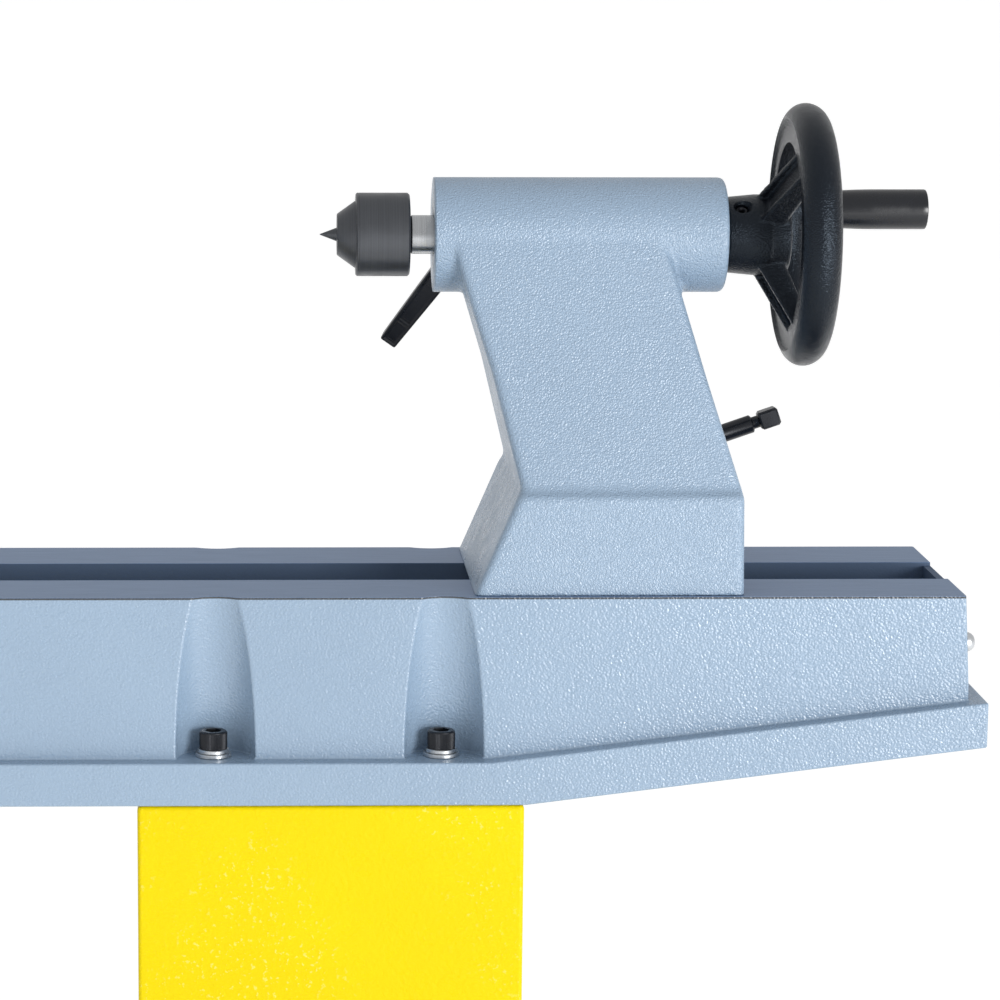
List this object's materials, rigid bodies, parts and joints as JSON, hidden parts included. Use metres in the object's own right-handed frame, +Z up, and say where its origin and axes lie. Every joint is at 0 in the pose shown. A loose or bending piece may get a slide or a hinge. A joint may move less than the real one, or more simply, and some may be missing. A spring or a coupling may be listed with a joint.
{
  "type": "wood lathe",
  "caption": "Floor-standing wood lathe: cast bed on box legs, belt-driven headstock, sliding tool rest and tailstock with handwheel quill.",
  "frame": {"origin": "on the floor, under the middle of the machine's box", "axes": "+X along the bed from headstock to tailstock, +Y to the back, +Z up"},
  "size_m": [1.7155, 0.62, 1.223],
  "materials": {
    "cast_paint": "hammertone powder coat, light blue-grey, ground where it slides",
    "yellow_paint": "textured yellow paint",
    "black_steel": "blackened",
    "machined_steel": "turned",
    "pulley_aluminium": "turned",
    "black_cast": "satin black powder coat",
    "black_plastic": "fine texture",
    "rubber": "matt",
    "green_plastic": "satin",
    "red_plastic": "satin",
    "screen": "smoked window",
    "motor_paint": "dark grey paint"
  },
  "bodies": {
    "root": {"bed": "cast_paint", "end_screw": "black_steel", "bed_bolt_1": "black_steel", "bed_bolt_2": "black_steel", "bed_bolt_3": "black_steel", "bed_bolt_4": "black_steel", "leg_column_left": "yellow_paint", "leg_column_right": "yellow_paint", "leg_foot_left": "yellow_paint", "leg_foot_right": "yellow_paint", "levelling_foot_left_1": "rubber", "levelling_foot_left_2": "rubber", "levelling_foot_right_1": "rubber", "levelling_foot_right_2": "rubber", "headstock_housing": "cast_paint", "spindle_bearing_outboard": "machined_steel", "spindle_bearing_inboard": "machined_steel", "motor": "motor_paint", "motor_plate": "cast_paint", "drive_belt": "rubber", "control_box": "black_plastic", "display": "screen", "cable_gland": "black_plastic"},
    "spindle": {"spindle": "machined_steel", "spindle_pulley": "pulley_aluminium", "index_ring": "pulley_aluminium", "spindle_handwheel": "black_cast", "spur_centre": "machined_steel"},
    "motor_rotor": {"motor_shaft": "machined_steel", "motor_pulley": "pulley_aluminium"},
    "index_pin": {"index_pin": "black_steel"},
    "belt_door": {"belt_door": "cast_paint"},
    "speed_knob": {"speed_knob": "black_plastic"},
    "start_button": {"start_button": "green_plastic"},
    "stop_button": {"stop_button": "red_plastic"},
    "direction_switch": {"direction_switch": "black_plastic"},
    "banjo_carriage": {"banjo_clamp_bolt": "black_steel", "banjo_clamp_plate": "black_steel"},
    "banjo_swivel": {"banjo_washer": "machined_steel"},
    "banjo": {"banjo": "cast_paint"},
    "banjo_lever": {"banjo_lever": "black_steel"},
    "rest_collar": {"rest_collar": "black_steel"},
    "tool_rest": {"tool_rest": "cast_paint"},
    "rest_lock_lever": {"rest_lock_lever": "black_steel"},
    "tailstock": {"tailstock_body": "cast_paint"},
    "quill": {"quill": "machined_steel", "live_centre_shank": "machined_steel"},
    "live_centre": {"live_centre_head": "black_steel"},
    "handwheel": {"handwheel": "black_cast", "feed_screw": "machined_steel", "hub_set_screw": "black_steel", "grip_bolt": "black_steel"},
    "grip": {"handwheel_grip": "black_plastic"},
    "quill_lock_lever": {"quill_lock_lever": "black_steel"},
    "clamp_lever": {"clamp_shaft": "machined_steel", "clamp_lever": "black_steel"},
    "clamp_lift": {"clamp_bolt": "black_steel", "clamp_plate": "black_steel"}
  },
  "joints": [
    {"name": "spindle_spin", "type": "hinge", "parent": "root", "child": "spindle", "pos_m": [-0.6, 0, 1.1105], "axis": [1, 0, 0], "continuous": true},
    {"name": "motor_spin", "type": "hinge", "parent": "root", "child": "motor_rotor", "pos_m": [-0.7, 0.18, 0.955], "axis": [1, 0, 0], "continuous": true},
    {"name": "index_pin_press", "type": "slide", "parent": "root", "child": "index_pin", "axis": [0, 0, -1], "range_m": [0, 0.012], "stiffness_N_per_m": 400, "springref_m": -0.004},
    {"name": "belt_door_swing", "type": "hinge", "parent": "root", "child": "belt_door", "pos_m": [-0.786, -0.099, 1.0325], "axis": [0, 0, -1], "range_deg": [0, 110]},
    {"name": "speed_knob_turn", "type": "hinge", "parent": "root", "child": "speed_knob", "pos_m": [-0.54, -0.15, 1.032], "axis": [0, 1, 0], "range_deg": [0, 270]},
    {"name": "start_button_press", "type": "slide", "parent": "root", "child": "start_button", "axis": [0, 1, 0], "range_m": [0, 0.004], "stiffness_N_per_m": 300, "springref_m": -0.002},
    {"name": "stop_button_press", "type": "slide", "parent": "root", "child": "stop_button", "axis": [0, 1, 0], "range_m": [0, 0.004], "stiffness_N_per_m": 300, "springref_m": -0.002},
    {"name": "direction_switch_turn", "type": "hinge", "parent": "root", "child": "direction_switch", "pos_m": [-0.54, -0.15, 0.975], "axis": [0, 1, 0], "range_deg": [-45, 45]},
    {"name": "banjo_travel", "type": "slide", "parent": "root", "child": "banjo_carriage", "axis": [1, 0, 0], "range_m": [-0.06, 0.04]},
    {"name": "banjo_swivel_turn", "type": "hinge", "parent": "banjo_carriage", "child": "banjo_swivel", "pos_m": [-0.21, 0, 0.88], "axis": [0, 0, 1], "range_deg": [-25, 25]},
    {"name": "banjo_reach", "type": "slide", "parent": "banjo_swivel", "child": "banjo", "axis": [0, 1, 0], "range_m": [-0.042, 0.025]},
    {"name": "banjo_lever_turn", "type": "hinge", "parent": "banjo_carriage", "child": "banjo_lever", "pos_m": [-0.21, 0, 0.932], "axis": [0, 0, 1], "range_deg": [-35, 50]},
    {"name": "rest_height", "type": "slide", "parent": "banjo", "child": "rest_collar", "axis": [0, 0, 1], "range_m": [0, 0.04]},
    {"name": "rest_turn", "type": "hinge", "parent": "rest_collar", "child": "tool_rest", "pos_m": [-0.21, -0.085, 1.03], "axis": [0, 0, 1], "range_deg": [-40, 40]},
    {"name": "rest_lock_turn", "type": "hinge", "parent": "banjo", "child": "rest_lock_lever", "pos_m": [-0.21, -0.085, 0.96], "axis": [0, 1, 0], "range_deg": [-60, 40]},
    {"name": "tailstock_travel", "type": "slide", "parent": "root", "child": "tailstock", "axis": [1, 0, 0], "range_m": [-0.36, 0.14]},
    {"name": "handwheel_turn", "type": "hinge", "parent": "tailstock", "child": "handwheel", "pos_m": [0.7436, 0, 1.1105], "axis": [-1, 0, 0], "range_deg": [-1020, 8040]},
    {"name": "quill_feed", "type": "slide", "parent": "tailstock", "child": "quill", "axis": [-1, 0, 0], "range_m": [-0.012, 0.09]},
    {"name": "live_centre_spin", "type": "hinge", "parent": "quill", "child": "live_centre", "pos_m": [0.46, 0, 1.1105], "axis": [1, 0, 0], "continuous": true},
    {"name": "grip_spin", "type": "hinge", "parent": "handwheel", "child": "grip", "pos_m": [0.8, 0.075, 1.1216], "axis": [1, 0, 0], "continuous": true},
    {"name": "quill_lock_turn", "type": "hinge", "parent": "tailstock", "child": "quill_lock_lever", "pos_m": [0.52, 0.05, 1.1], "axis": [0, 1, 0], "range_deg": [-45, 30]},
    {"name": "clamp_lever_turn", "type": "hinge", "parent": "tailstock", "child": "clamp_lever", "pos_m": [0.6, 0.1, 0.923], "axis": [0, -1, 0], "range_deg": [-15, 45]},
    {"name": "clamp_lift_slide", "type": "slide", "parent": "tailstock", "child": "clamp_lift", "axis": [0, 0, 1], "range_m": [-0.001, 0.002]}
  ],
  "couplings": [
    {"joint": "motor_spin", "follows": "spindle_spin", "ratio": 1},
    {"joint": "quill_feed", "follows": "handwheel_turn", "m_per_rad": 0.00063662},
    {"joint": "clamp_lift_slide", "follows": "clamp_lever_turn", "m_per_rad": 0.0023}
  ]
}
